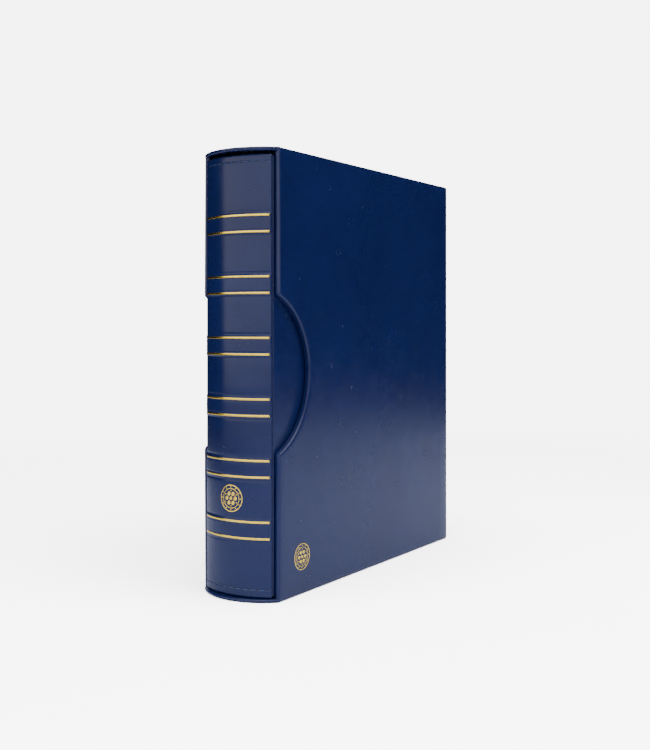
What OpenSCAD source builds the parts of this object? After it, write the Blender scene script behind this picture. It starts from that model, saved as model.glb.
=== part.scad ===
/* [Slipcase] */
// Width over the two sides of the slipcase
case_w = 70; // [58:1:90]
// Height of the slipcase
case_h = 330; // [300:5:400]
// Depth of the slipcase sides, from their front edge to the back
side_depth = 270; // [260:1:330]
// How far the arched front of the top and bottom stands out past the sides
front_bulge = 15.5; // [13.5:0.5:20]
// Thickness of a side with its covering
side_t = 4.4; // [3.6:0.2:6]
// Thickness of the top and of the bottom with their covering
top_t = 2.7; // [2.3:0.1:4]
// Thickness of the back with its covering
back_t = 3.2; // [2.6:0.1:5]
// Radius of the upright edges at the back
back_corner_r = 3.5; // [2:0.5:5]
// Radius on both edges of a side's front
edge_r = 1.2; // [0.6:0.1:1.6]

/* [Thumb cut-out] */
// Radius of the cut-out
notch_r = 62; // [56:1:70]
// How deep the cut-out reaches into the side
notch_depth = 38; // [30:1:44]

/* [Covering] */
// Thickness of the leatherette and of the linings
skin_t = 0.7; // [0.5:0.1:0.9]
// How far the covering is turned in behind an edge before the lining starts
turn_in = 15; // [10:1:25]

/* [Album] */
// Free space between the album and each side of the case
album_gap = 0.5; // [0.4:0.1:1.5]
// Free space under the album
foot_gap = 0.3; // [0.3:0.1:1]
// Free space over the album
head_gap = 2.3; // [1.5:0.1:4]
// Free space behind the album
rear_gap = 0.8; // [0.5:0.1:3]
// How far the cover edges stand out past the case's sides
cover_proud = 1; // [0:0.1:3]
// Thickness of a cover
cover_t = 3.2; // [2.8:0.1:4]
// How much the curved spine panel rises from its edges to its crown
spine_rise = 8.5; // [6:0.5:10]
// How far the spine's crown stands out past the case's sides
spine_proud = 12.1; // [11:0.1:14]
// Thickness of the spine panel
spine_t = 2.7; // [2.3:0.1:3.2]
// Space between the spine's edge and the album's side
spine_inset = 0.7; // [0.5:0.1:1.5]

/* [Spine decoration] */
// Number of raised bands
bands = 6; // [3:1:6]
// Height of the lowest band's middle over the album's foot
band_base = 48.95; // [44:0.5:60]
// Distance of the highest band's middle under the album's head
band_head = 50.3; // [44:0.5:60]
// Distance between the two gold lines of a band
line_gap = 12; // [8:0.5:16]
// Width of a gold line
line_w = 1.5; // [0.8:0.1:2.5]
// How far a band is raised
band_rise = 0.35; // [0.2:0.05:0.6]

/* [Medallions] */
// Radius of a gold medallion
medal_r = 10; // [8:0.5:12]
// Distance of the case medallion's centre from the side's front edge
case_medal_y = 28.6; // [20:0.5:40]
// Height of the case medallion's centre
case_medal_z = 28.3; // [20:0.5:40]

/* [Ring mechanism] */
// Distance of an outer ring from the rail's end
ring_end = 18; // [16:1:24]
// Diameter of the ring wire
wire_d = 3.5; // [3:0.1:4]
// Height of the rings' centre line over the cover
ring_h = 33; // [30:0.5:36]
// Width of the ring mechanism's rail
rail_w = 24; // [22:0.5:28]
// Height of the rail
rail_h = 7; // [6.8:0.1:8]
// Free space between an end of the rail and the album's head or foot
rail_end_gap = 23; // [17:1:30]
// Distance of the rail's middle line behind the cover's front edge
rail_back = 25.25; // [24:0.25:28]
// Angle that each half of a ring opens by
ring_open = 12.4; // [8:0.1:13]

/* [Coin sheets] */
// Free space between the coin sheets and the covers' far edges
sheet_rear_gap = 2.75; // [2:0.25:40]
// Free space over and under a coin sheet
sheet_gap = 5; // [3:0.5:20]
// Thickness of a coin sheet with its pocket fronts
sheet_t = 3; // [2.6:0.1:3.4]
// Thickness of a divider card
card_t = 0.8; // [0.4:0.1:1]
// Thickness of a coin
coin_t = 2; // [1.2:0.1:2.2]
// Free space between a coin and its pocket's seams
coin_slack = 3; // [1.5:0.5:6]
// Width of a welded seam
seam_w = 2; // [1.5:0.1:3]

/* [Hidden] */
$fn = 96;
cut = 1;

// Slipcase planes
case_y0 = -(side_depth + front_bulge) / 2;
side_y0 = case_y0 + front_bulge;
back_y = side_y0 + side_depth;
inner_x = case_w / 2 - side_t;
inner_back_y = back_y - back_t;
inner_top_z = case_h - top_t;
arch_r = (pow(case_w / 2, 2) + pow(front_bulge, 2)) / (2 * front_bulge);
lining_y0 = side_y0 + turn_in;
notch_y = side_y0 - notch_r + notch_depth;
notch_z = case_h / 2;

// Album planes
album_z0 = top_t + foot_gap;
album_h = case_h - 2 * top_t - foot_gap - head_gap;
album_zc = album_z0 + album_h / 2;
album_x = inner_x - album_gap;
cover_y0 = side_y0 - cover_proud;
cover_y1 = inner_back_y - rear_gap;
cover_r = cover_t / 2;
cover_in_x = album_x - cover_t;
cover_mid_x = album_x - cover_r;
spine_half = album_x - spine_inset;
spine_r = (pow(spine_half, 2) + pow(spine_rise, 2)) / (2 * spine_rise);
spine_cy = side_y0 - spine_proud + spine_r;
spine_core_half = cover_in_x - 0.4;
spine_mid_r = spine_r - spine_t / 2;
rim = 0.8;
band_pitch = (album_h - band_base - band_head) / (bands - 1);
spine_medal_z = band_base + band_pitch / 2;

// Ring mechanism, measured from the back cover's inner face
rail_y = cover_y0 + rail_back;
rail_l = album_h - 2 * rail_end_gap;
rail_sheet = 0.8;
rail_crown = 1.8;
rail_arch_r = (pow(rail_w / 2, 2) + pow(rail_crown, 2)) / (2 * rail_crown);
ring_pitch = (rail_l - 2 * ring_end) / 3;
ring_in = 4;
ring_y = rail_w / 2 - ring_in;
meet_y = ring_y / 2;
post_bend_r = ring_y - meet_y;
hook_bend_r = ring_y + meet_y;
tip_gap = 0.3;
blade_t = 1;
blade_pivot_y = rail_w / 2 - rail_sheet - blade_t / 2 - 0.3;
blade_pivot_h = 3.4;
blade_gap = 0.45;
blade_tilt = ring_open / 2;
wire_hole_r = wire_d / 2 + 1.15;
lever_in = 6;
lever_x = rail_l / 2 - lever_in;
tongue_l = 10.5;
blade_l = 2 * (lever_x - tongue_l + 2.5);
lever_w = 14;
lever_pin_r = 1;
hub_r = 2.6;
tab_angle = 7.4;
tab_l = 20;
tab_t = 1.6;
tab_roll_r = 1.3;
ring_places = [for (i = [0:3]) (i - 1.5) * ring_pitch];
rivet_r = 1.5;
rivet_head_r = 4;
rivet_head_h = 0.6;
rivet_places = [-ring_pitch, ring_pitch];

// Sheets, stacked from the rail's crown upwards
stack_h0 = rail_h + 1;
stack_pitch = sheet_t + card_t;
film_t = 0.3;
punch_edge = 11;
sheet_y0 = rail_y + ring_y - punch_edge;
sheet_w = cover_y1 - sheet_rear_gap - sheet_y0;
sheet_h = album_h - 2 * sheet_gap;
card_proud = 2;
sheet_margin = 20;
sheet_edge = 2;
margin_t = 1.2;
hole_w = 6;
hole_front = 3;
hole_back = 7;
columns = [4, 5, 6];
rows = [6, 7, 9];

navy = [0.07, 0.14, 0.32];
black = [0.06, 0.06, 0.07];
greyboard = [0.55, 0.52, 0.47];
gold = [0.93, 0.76, 0.32];
steel = [0.78, 0.79, 0.8];
coin_tones = [[0.86, 0.72, 0.38], [0.8, 0.8, 0.78], [0.78, 0.5, 0.32]];

// Plan of the slipcase, drawn in from its outside by an inset
module case_plan(inset = 0) {
    r = back_corner_r - inset;
    w = case_w / 2 - inset;
    y1 = back_y - inset;
    intersection() {
        translate([0, case_y0 + arch_r]) circle(arch_r - inset, $fn = 180);
        translate([-w, case_y0]) square([2 * w, front_bulge + inset]);
    }
    translate([-w, side_y0 + inset]) square([2 * w, y1 - r - side_y0 - inset]);
    translate([-w + r, side_y0 + inset]) square([2 * (w - r), y1 - side_y0 - inset]);
    for (s = [-1, 1]) translate([s * (w - r), y1 - r]) circle(r);
}

// Plan of both sides and the back of the slipcase, with rounded front edges
module wall_plan() {
    difference() {
        union() {
            difference() {
                case_plan();
                translate([-case_w, case_y0 - cut]) square([2 * case_w, front_bulge + cut + edge_r]);
            }
            for (s = [-1, 1]) {
                for (x = [inner_x + edge_r, case_w / 2 - edge_r])
                    translate([s * x, side_y0 + edge_r]) circle(edge_r);
                translate([s * (inner_x + side_t / 2), side_y0 + edge_r])
                    square([side_t - 2 * edge_r, 2 * edge_r], center = true);
            }
        }
        translate([-inner_x, side_y0 - cut]) square([2 * inner_x, inner_back_y - side_y0 + cut]);
    }
}

// Thumb cut-out through both sides, widened by a margin
module thumb_notch(margin = 0) {
    translate([0, notch_y, notch_z])
        rotate([0, 90, 0]) cylinder(r = notch_r + margin, h = 2 * case_w, center = true, $fn = 180);
}

module side_board_shape(s) {
    difference() {
        translate([s > 0 ? inner_x + skin_t : -case_w / 2 + skin_t, side_y0 + skin_t, top_t])
            cube([side_t - 2 * skin_t, inner_back_y - side_y0, case_h - 2 * top_t]);
        thumb_notch(skin_t);
    }
}

module back_board_shape() {
    translate([0, 0, top_t]) linear_extrude(case_h - 2 * top_t) intersection() {
        case_plan(skin_t);
        translate([-case_w, inner_back_y + skin_t]) square([2 * case_w, back_t]);
    }
}

module lining_shape() {
    difference() {
        translate([-inner_x - skin_t, lining_y0, top_t - skin_t])
            cube([2 * (inner_x + skin_t), inner_back_y + skin_t - lining_y0,
                case_h - 2 * (top_t - skin_t)]);
        translate([-inner_x, lining_y0 - cut, top_t])
            cube([2 * inner_x, inner_back_y - lining_y0 + cut, case_h - 2 * top_t]);
        thumb_notch(turn_in);
    }
}

// Core of the top or the bottom, from the height z0 upwards
module flat_board_shape(z0) {
    translate([0, 0, z0]) linear_extrude(top_t - 2 * skin_t) case_plan(skin_t);
}

// Covering of the top or the bottom, around its board and down to the lining
module flat_skin_shape(z0) {
    difference() {
        translate([0, 0, z0]) linear_extrude(top_t) case_plan();
        flat_board_shape(z0 + skin_t);
        lining_shape();
    }
}

// Concentric rings, beads and a rosette, all drawn round one centre
module medallion_plan() {
    difference() {
        circle(medal_r);
        circle(medal_r * 0.93);
    }
    difference() {
        circle(medal_r * 0.74);
        circle(medal_r * 0.69);
    }
    for (a = [0:30:330]) rotate(a) translate([medal_r * 0.835, 0]) circle(medal_r * 0.045);
    for (a = [0:60:300]) rotate(a) translate([medal_r * 0.38, 0]) circle(medal_r * 0.15);
    circle(medal_r * 0.13);
}

module case_wrap() {
    color(navy) difference() {
        translate([0, 0, top_t]) linear_extrude(case_h - 2 * top_t) wall_plan();
        thumb_notch();
        side_board_shape(1);
        side_board_shape(-1);
        back_board_shape();
        lining_shape();
        translate([case_w / 2 - 0.15, side_y0 + case_medal_y, case_medal_z])
            rotate([0, 90, 0]) cylinder(r = medal_r + 0.4, h = cut);
    }
}

module case_top_skin() {
    color(navy) flat_skin_shape(inner_top_z);
}

module case_bottom_skin() {
    color(navy) flat_skin_shape(0);
}

module case_lining() {
    color(black) lining_shape();
}

module case_right_board() {
    color(greyboard) side_board_cut(1);
}

module case_left_board() {
    color(greyboard) side_board_cut(-1);
}

// A side board where the back board and the lining leave it room
module side_board_cut(s) {
    difference() {
        side_board_shape(s);
        back_board_shape();
        lining_shape();
    }
}

module case_top_board() {
    color(greyboard) flat_board_shape(inner_top_z + skin_t);
}

module case_bottom_board() {
    color(greyboard) flat_board_shape(skin_t);
}

module case_back_board() {
    color(greyboard) back_board_shape();
}

module case_medallion() {
    color(gold) translate([case_w / 2 - 0.15, side_y0 + case_medal_y, case_medal_z])
        rotate([90, 0, 90]) linear_extrude(0.1) medallion_plan();
}

// Plan of one cover, with its front and back edges rounded
module cover_plan(s) {
    for (y = [cover_y0 + cover_r, cover_y1 - cover_r]) translate([s * cover_mid_x, y]) circle(cover_r);
    translate([s * cover_mid_x - cover_r, cover_y0 + cover_r]) square([cover_t, cover_y1 - cover_y0 - cover_t]);
}

module cover_board_shape(s) {
    inset = cover_r + rim;
    x0 = s > 0 ? cover_in_x + skin_t : -album_x + skin_t;
    translate([x0, cover_y0 + inset, album_z0 + rim])
        cube([cover_t - 2 * skin_t, cover_y1 - cover_y0 - 2 * inset, album_h - 2 * rim]);
}

// Curved strip between two radii, as wide as twice the half width
module spine_strip(r_out, r_in, half_w, h) {
    linear_extrude(h) intersection() {
        translate([0, spine_cy]) difference() {
            circle(r_out, $fn = 180);
            circle(r_in, $fn = 180);
        }
        translate([-half_w, spine_cy - 2 * spine_r]) square([2 * half_w, 2 * spine_r]);
    }
}

module spine_board_shape() {
    translate([0, 0, album_z0 + rim])
        spine_strip(spine_r - skin_t, spine_r - spine_t + skin_t, spine_core_half - rim, album_h - 2 * rim);
}

// Half of a cover's plan: side 1 is the outer half, side -1 the inner half
module cover_half(s, side) {
    intersection() {
        cover_plan(s);
        translate([s * (cover_mid_x + side * cover_t) - cover_t, cover_y0 - cut])
            square([2 * cover_t, cover_y1 - cover_y0 + 2 * cut]);
    }
}

module hinge_strip(s, x0, x1, y0, y1) {
    translate([s > 0 ? x0 : -x1, y0]) square([x1 - x0, y1 - y0]);
}

module album_outer_skin() {
    hinge_y0 = spine_cy - sqrt(pow(spine_r - skin_t / 2, 2) - pow(spine_half - 0.5, 2));
    color(navy) difference() {
        union() {
            for (s = [-1, 1]) translate([0, 0, album_z0]) linear_extrude(album_h) {
                cover_half(s, 1);
                hinge_strip(s, cover_mid_x, spine_half - 0.2, hinge_y0, cover_y0 + cover_r);
            }
            translate([0, 0, album_z0]) {
                spine_strip(spine_r, spine_r - skin_t, spine_half, album_h);
                spine_strip(spine_r, spine_mid_r, spine_core_half, album_h);
            }
            for (i = [0:bands - 1])
                translate([0, 0, album_z0 + band_base + i * band_pitch - line_gap / 2 - line_w / 2])
                    spine_strip(spine_r + band_rise, spine_r - skin_t / 2, spine_half - 0.2, line_gap + line_w);
        }
        cover_board_shape(1);
        cover_board_shape(-1);
        spine_board_shape();
    }
}

module album_inner_skin() {
    lining_y = spine_cy - sqrt(pow(spine_r - spine_t, 2) - pow(spine_core_half, 2));
    color(navy) difference() {
        union() {
            for (s = [-1, 1]) translate([0, 0, album_z0]) linear_extrude(album_h) {
                cover_half(s, -1);
                hinge_strip(s, spine_core_half - 0.6, spine_core_half, lining_y - 0.6, cover_y0 + cover_r + 1);
                hinge_strip(s, spine_core_half - 0.6, cover_in_x + 0.3, cover_y0 + cover_r, cover_y0 + cover_r + 1);
            }
            translate([0, 0, album_z0])
                spine_strip(spine_mid_r, spine_r - spine_t, spine_core_half, album_h);
        }
        cover_board_shape(1);
        cover_board_shape(-1);
        spine_board_shape();
        rivet_holes();
    }
}

module front_cover_board() {
    color(greyboard) cover_board_shape(1);
}

module back_cover_board() {
    color(greyboard) difference() {
        cover_board_shape(-1);
        rivet_holes();
        on_back_cover() for (x = rivet_places) translate([x, 0, -cover_t + skin_t - cut])
            cylinder(r = rivet_head_r + 0.05, h = rivet_head_h + 0.05 + cut);
    }
}

module spine_board() {
    color(greyboard) spine_board_shape();
}

module spine_gold_lines() {
    foil = 0.08;
    color(gold) for (i = [0:bands - 1], e = [-1, 1])
        translate([0, 0, album_z0 + band_base + i * band_pitch + e * line_gap / 2 - line_w / 2])
            spine_strip(spine_r + band_rise + foil, spine_r + band_rise, spine_half - 0.4, line_w);
}

module spine_medallion() {
    foil = 0.1;
    color(gold) intersection() {
        translate([0, 0, album_z0]) spine_strip(spine_r + foil, spine_r, spine_half, album_h / 2);
        translate([0, spine_cy, album_z0 + spine_medal_z])
            rotate([90, 0, 0]) linear_extrude(2 * spine_r) medallion_plan();
    }
}

// Lays a shape on the back cover's inner face: x runs down the album, y to its back, z off the cover
module on_back_cover() {
    translate([-cover_in_x, rail_y, album_zc]) rotate([0, 90, 0]) children();
}

module rivet_holes() {
    on_back_cover() for (x = rivet_places) translate([x, 0, -cover_t + skin_t])
        cylinder(r = rivet_r + 0.05, h = cover_t + rail_h + cut);
}

// Section of the rail: an arched crown between two upright walls with lips turned in under them
module rail_section() {
    difference() {
        intersection() {
            translate([-rail_w / 2, 0]) square([rail_w, rail_h]);
            translate([0, rail_h - rail_arch_r]) circle(rail_arch_r, $fn = 180);
        }
        intersection() {
            translate([-rail_w / 2 + rail_sheet, -cut]) square([rail_w - 2 * rail_sheet, rail_h + cut]);
            translate([0, rail_h - rail_arch_r]) circle(rail_arch_r - rail_sheet, $fn = 180);
        }
    }
    for (s = [-1, 1]) translate([s * (rail_w / 2 - rail_sheet - 0.8) - 0.8, 0]) square([1.6, rail_sheet]);
}

module ring_rail() {
    color(steel) on_back_cover() difference() {
        translate([-rail_l / 2, 0, 0]) rotate([90, 0, 90]) linear_extrude(rail_l) rail_section();
        for (x = ring_places, s = [-1, 1]) translate([x, s * ring_y, blade_pivot_h])
            cylinder(r = wire_hole_r, h = rail_h);
        for (x = rivet_places) translate([x, 0, blade_pivot_h]) cylinder(r = rivet_r + 0.05, h = rail_h);
        for (s = [-1, 1]) {
            translate([s * (lever_x - 3) + (s < 0 ? -rail_l : 0), -lever_w / 2 - 0.8, blade_pivot_h - 1])
                cube([rail_l, lever_w + 1.6, rail_h]);
            translate([s * lever_x, 0, blade_pivot_h]) rotate([90, 0, 0])
                cylinder(r = lever_pin_r + 0.02, h = 2 * rail_w, center = true);
        }
    }
}

// Frame of a blade: side 1 carries the posts, side -1 the hooks; y runs in from the blade's pivot
module on_blade(s) {
    translate([0, s * blade_pivot_y, blade_pivot_h]) rotate([s * blade_tilt, 0, 0]) children();
}

module blade(s) {
    color(steel) on_back_cover() difference() {
        on_blade(s) union() {
            translate([-blade_l / 2, s > 0 ? blade_gap - blade_pivot_y : 0, -blade_t / 2])
                cube([blade_l, blade_pivot_y - blade_gap, blade_t]);
            rotate([0, 90, 0]) cylinder(d = blade_t, h = blade_l, center = true, $fn = 32);
        }
        for (x = rivet_places) translate([x, 0, -cut]) cylinder(r = rivet_r + 1.2, h = rail_h);
    }
}

module post_blade() {
    blade(1);
}

module hook_blade() {
    blade(-1);
}

// Half of a ring: an upright wire on its blade, bent over to the meeting point of the tips
module ring_half(s, bend_r) {
    difference() {
        union() {
            translate([0, s * ring_y, blade_pivot_h - 1])
                cylinder(d = wire_d, h = ring_h - bend_r - blade_pivot_h + 1, $fn = 32);
            translate([0, meet_y, ring_h - bend_r]) rotate([90, 0, 90]) rotate(s > 0 ? 0 : 90)
                rotate_extrude(angle = 90, $fn = 96) translate([bend_r, 0]) circle(d = wire_d, $fn = 32);
        }
        on_blade(s) translate([-2 * wire_d, -rail_w, blade_t / 2 - 10]) cube([4 * wire_d, 2 * rail_w, 10]);
        translate([-wire_d, meet_y - tip_gap / 2, ring_h - wire_d]) cube([2 * wire_d, tip_gap, 2 * wire_d]);
    }
}

module ring_post(i) {
    color(steel) on_back_cover() translate([ring_places[i - 1], 0, 0]) ring_half(1, post_bend_r);
}

module ring_hook(i) {
    color(steel) on_back_cover() translate([ring_places[i - 1], 0, 0]) ring_half(-1, hook_bend_r);
}

// Opening lever: a hub on its pin, a tongue under the blades and a tab with a rolled end
module lever() {
    color(steel) difference() {
        union() {
            rotate([90, 0, 0]) cylinder(r = hub_r, h = lever_w, center = true);
            translate([-tongue_l, -1.5, 0.4 - blade_pivot_h]) cube([tongue_l - 0.5, 3, 0.9]);
            rotate([0, -tab_angle, 0]) {
                translate([hub_r / 2 + 0.4, -lever_w / 2 + 0.5, -tab_t / 2])
                    cube([tab_l - hub_r / 2 - 0.4, lever_w - 1, tab_t]);
                translate([tab_l, 0, 0]) rotate([90, 0, 0]) cylinder(r = tab_roll_r, h = lever_w, center = true);
            }
        }
        rotate([90, 0, 0]) cylinder(r = lever_pin_r + 0.05, h = 2 * lever_w, center = true);
    }
}

module top_lever() {
    on_back_cover() translate([-lever_x, 0, blade_pivot_h]) rotate(180) lever();
}

module bottom_lever() {
    on_back_cover() translate([lever_x, 0, blade_pivot_h]) lever();
}

module lever_pins() {
    color(steel) on_back_cover() for (s = [-1, 1]) translate([s * lever_x, 0, blade_pivot_h])
        rotate([90, 0, 0]) cylinder(r = lever_pin_r, h = rail_w, center = true);
}

module rail_rivets() {
    color(steel) on_back_cover() for (x = rivet_places) translate([x, 0, 0]) {
        translate([0, 0, -cover_t + skin_t]) cylinder(r = rivet_head_r, h = rivet_head_h);
        translate([0, 0, -cover_t + skin_t]) cylinder(r = rivet_r, h = cover_t - skin_t + rail_h);
        translate([0, 0, rail_h]) cylinder(r = 2 * rivet_r, h = 0.6);
    }
}

// Height over the back cover of the foot of sheet i
function stack_h(i) = stack_h0 + (i - 1) * stack_pitch;
function cell_w(i) = (sheet_w - sheet_margin - sheet_edge) / columns[i - 1];
function cell_h(i) = (sheet_h - 2 * sheet_edge) / rows[i - 1];
function cell_y(i, c) = sheet_y0 - rail_y + sheet_margin + (c + 0.5) * cell_w(i);
function cell_x(i, r) = (r + 0.5) * cell_h(i) - (sheet_h - 2 * sheet_edge) / 2;

// Oblong punched holes that let the posts lean over as the rings open
module punched_holes() {
    for (x = ring_places) translate([x, ring_y, 0]) {
        for (y = [-hole_front + hole_w / 2, hole_back - hole_w / 2]) translate([0, y]) circle(d = hole_w);
        translate([-hole_w / 2, -hole_front + hole_w / 2]) square([hole_w, hole_front + hole_back - hole_w]);
    }
}

module sheet_outline(y0, y1, h) {
    difference() {
        translate([-h / 2, y0]) square([h, y1 - y0]);
        punched_holes();
    }
}

module coin_sheet(i) {
    y0 = sheet_y0 - rail_y;
    color([0.85, 0.87, 0.9]) on_back_cover() translate([0, 0, stack_h(i)]) {
        linear_extrude(film_t) sheet_outline(y0, y0 + sheet_w, sheet_h);
        linear_extrude(margin_t) sheet_outline(y0, y0 + sheet_margin - 2 * seam_w, sheet_h);
        linear_extrude(sheet_t - film_t) difference() {
            translate([-sheet_h / 2, y0 + sheet_margin - seam_w / 2])
                square([sheet_h, sheet_w - sheet_margin + seam_w / 2]);
            for (r = [0:rows[i - 1] - 1], c = [0:columns[i - 1] - 1]) translate([cell_x(i, r), cell_y(i, c)])
                square([cell_h(i) - seam_w, cell_w(i) - seam_w], center = true);
        }
    }
}

module pocket_front(i) {
    y0 = sheet_y0 - rail_y + sheet_margin;
    thumb_r = cell_w(i) / 6;
    color([0.9, 0.92, 0.95, 0.5]) on_back_cover() translate([0, 0, stack_h(i) + sheet_t - film_t])
        linear_extrude(film_t) difference() {
            translate([-sheet_h / 2, y0 - seam_w / 2]) square([sheet_h, sheet_w - sheet_margin + seam_w / 2]);
            for (r = [0:rows[i - 1] - 1], c = [0:columns[i - 1] - 1])
                translate([cell_x(i, r) - cell_h(i) / 2 + seam_w / 2, cell_y(i, c)]) intersection() {
                    circle(thumb_r);
                    translate([0, -thumb_r]) square(2 * thumb_r);
                }
        }
}

module coins(i) {
    coin_r = min(cell_w(i), cell_h(i)) / 2 - seam_w / 2 - coin_slack;
    color(coin_tones[i - 1]) on_back_cover() translate([0, 0, stack_h(i) + film_t])
        for (r = [0:rows[i - 1] - 1], c = [0:columns[i - 1] - 1]) translate([cell_x(i, r), cell_y(i, c), 0])
            cylinder(r = coin_r, h = coin_t, $fn = 64);
}

module divider_card(i) {
    color([0.9, 0.88, 0.82]) on_back_cover() translate([0, 0, stack_h(i) + sheet_t])
        linear_extrude(card_t) sheet_outline(sheet_y0 - rail_y, sheet_y0 - rail_y + sheet_w + card_proud / 2, sheet_h + 2 * card_proud);
}

case_wrap();
case_top_skin();
case_bottom_skin();
case_lining();
case_right_board();
case_left_board();
case_top_board();
case_bottom_board();
case_back_board();
case_medallion();
album_outer_skin();
album_inner_skin();
front_cover_board();
back_cover_board();
spine_board();
spine_gold_lines();
spine_medallion();
ring_rail();
post_blade();
hook_blade();
ring_post(1);  // ring_post_1
ring_post(2);  // ring_post_2
ring_post(3);  // ring_post_3
ring_post(4);  // ring_post_4
ring_hook(1);  // ring_hook_1
ring_hook(2);  // ring_hook_2
ring_hook(3);  // ring_hook_3
ring_hook(4);  // ring_hook_4
top_lever();
bottom_lever();
lever_pins();
rail_rivets();
coin_sheet(1);  // coin_sheet_1
coin_sheet(2);  // coin_sheet_2
coin_sheet(3);  // coin_sheet_3
pocket_front(1);  // pocket_front_1
pocket_front(2);  // pocket_front_2
pocket_front(3);  // pocket_front_3
coins(1);  // coins_1
coins(2);  // coins_2
coins(3);  // coins_3
divider_card(1);  // divider_card_1
divider_card(2);  // divider_card_2
divider_card(3);  // divider_card_3
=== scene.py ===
import math
import bpy
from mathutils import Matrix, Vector


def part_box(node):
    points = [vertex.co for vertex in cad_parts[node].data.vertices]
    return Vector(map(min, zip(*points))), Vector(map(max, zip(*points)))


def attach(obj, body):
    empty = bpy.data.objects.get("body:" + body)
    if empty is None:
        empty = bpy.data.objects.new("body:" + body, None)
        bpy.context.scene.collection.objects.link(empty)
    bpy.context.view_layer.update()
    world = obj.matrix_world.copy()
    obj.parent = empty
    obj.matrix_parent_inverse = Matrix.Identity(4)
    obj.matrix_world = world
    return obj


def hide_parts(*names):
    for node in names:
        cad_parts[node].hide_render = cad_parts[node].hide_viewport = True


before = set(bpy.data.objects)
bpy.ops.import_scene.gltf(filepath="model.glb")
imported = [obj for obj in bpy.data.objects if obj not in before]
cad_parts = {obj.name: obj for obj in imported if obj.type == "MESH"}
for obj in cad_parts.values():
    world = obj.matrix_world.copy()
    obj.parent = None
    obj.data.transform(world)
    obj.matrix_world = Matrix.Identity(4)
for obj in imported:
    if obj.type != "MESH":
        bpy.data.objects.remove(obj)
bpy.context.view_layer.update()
MM = 0.001


# ---------------------------------------------------------------- sizes, in millimetres, from the frame
def box(node):
    low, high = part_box(node)
    return low / MM, high / MM


roof_low, roof_high = box("case_top_skin")
wall_low, wall_high = box("case_wrap")
lining_low = box("case_lining")[0]
right_board_low, right_board_high = box("case_right_board")
skin_low, skin_high = box("album_outer_skin")
front_board_low, front_board_high = box("front_cover_board")
lines_low, lines_high = box("spine_gold_lines")
spine_medal_low, spine_medal_high = box("spine_medallion")
case_medal_low, case_medal_high = box("case_medallion")

CASE_X = wall_high.x
CASE_TOP = roof_high.z
CASE_BACK = wall_high.y
APEX_Y = roof_low.y
SIDE_Y = wall_low.y
SKIN_T = CASE_X - right_board_high.x
INNER_X = right_board_low.x - SKIN_T
MID_Z = CASE_TOP / 2
ROOF_T = CASE_TOP - wall_high.z
ARCH_RISE = SIDE_Y - APEX_Y
ARCH_R = (CASE_X ** 2 + ARCH_RISE ** 2) / (2 * ARCH_RISE)

NOTCH_R = 62.0
NOTCH_DEPTH = 38.0
NOTCH_Y = SIDE_Y - NOTCH_R + NOTCH_DEPTH
NOTCH_FILLET = 3.0
BACK_CORNER_R = 3.5
EDGE_R = 1.3
TOP_R = 1.5
BOW = 0.9
TURN_IN = lining_low.y - SIDE_Y
LINING_LIP = 0.05
WRAP_T = 0.5
TUCK_DEPTH = TOP_R + 1.6
TUCK_HIDE = 0.02
CAP_CORNER_R = 3.4
CAP_SIDE_INSET = 1.3
CAP_EDGE_R = 1.15
CAP_FACE_INSET = CAP_EDGE_R + 2.5

ALBUM_X = skin_high.x
ALBUM_Z0 = skin_low.z
ALBUM_Z1 = skin_high.z
COVER_T = 2 * (ALBUM_X - (front_board_low.x + front_board_high.x) / 2)
COVER_R = COVER_T / 2
COVER_Y1 = skin_high.y
COVER_Y0 = front_board_low.y - COVER_R - 0.8
BAND_RISE = 0.35
SPINE_HALF = lines_high.x + 0.4
SPINE_RISE = 8.5
SPINE_R = (SPINE_HALF ** 2 + SPINE_RISE ** 2) / (2 * SPINE_RISE)
SPINE_CY = skin_low.y + BAND_RISE + SPINE_R
SPINE_T = 2.7
COVER_SHEET_T = 0.35
FOIL_T = 0.03
BAND_SLOPE = 0.9
BANDS = 6
LINE_W = 1.5
LINE_GAP = 12.0
LINE_TOP = lines_high.z - LINE_W / 2
LINE_BASE = lines_low.z + LINE_W / 2
BAND_PITCH = (LINE_TOP - LINE_BASE - LINE_GAP) / (BANDS - 1)
SEAM_TOP = ALBUM_Z1 - 5.3
SEAM_FOOT = ALBUM_Z0 + 6.0
HEM_TOP = ALBUM_Z1 - 2.3
HEM_FOOT = ALBUM_Z0 + 2.6
STITCH_PITCH = 6.0
STITCH_LENGTH = 4.5
STITCH_REACH = 27.0
THREAD_R = 0.24
SHEET_COLUMNS = (4, 5, 6)
SHEET_ROWS = (6, 7, 9)
SHEET_EDGE = 2.0
NAVY = (0.005, 0.01, 0.055)


# ---------------------------------------------------------------- mesh helpers
def new_object(name, points, faces, body):
    mesh = bpy.data.meshes.new(name)
    mesh.from_pydata([Vector(p) * MM for p in points], [], faces)
    mesh.validate()
    mesh.update()
    for polygon in mesh.polygons:
        polygon.use_smooth = True
    piece = bpy.data.objects.new(name, mesh)
    bpy.context.scene.collection.objects.link(piece)
    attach(piece, body)
    return piece


def grid_faces(rows, columns, start=0, flip=False):
    faces = []
    for i in range(rows - 1):
        for j in range(columns - 1):
            a = start + i * columns + j
            quad = (a, a + 1, a + columns + 1, a + columns)
            faces.append(quad[::-1] if flip else quad)
    return faces


def ring_faces(rings, sides, start=0, flip=False):
    """Quads between closed rings of points that follow one another."""
    faces = []
    for i in range(rings - 1):
        for k in range(sides):
            a = start + i * sides + k
            b = start + i * sides + (k + 1) % sides
            quad = (a, b, b + sides, a + sides)
            faces.append(quad[::-1] if flip else quad)
    return faces


def quarter_turn(steps):
    """The angles from 0 to 90 degrees in that many steps."""
    return [math.pi / 2 * k / steps for k in range(steps + 1)]


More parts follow.
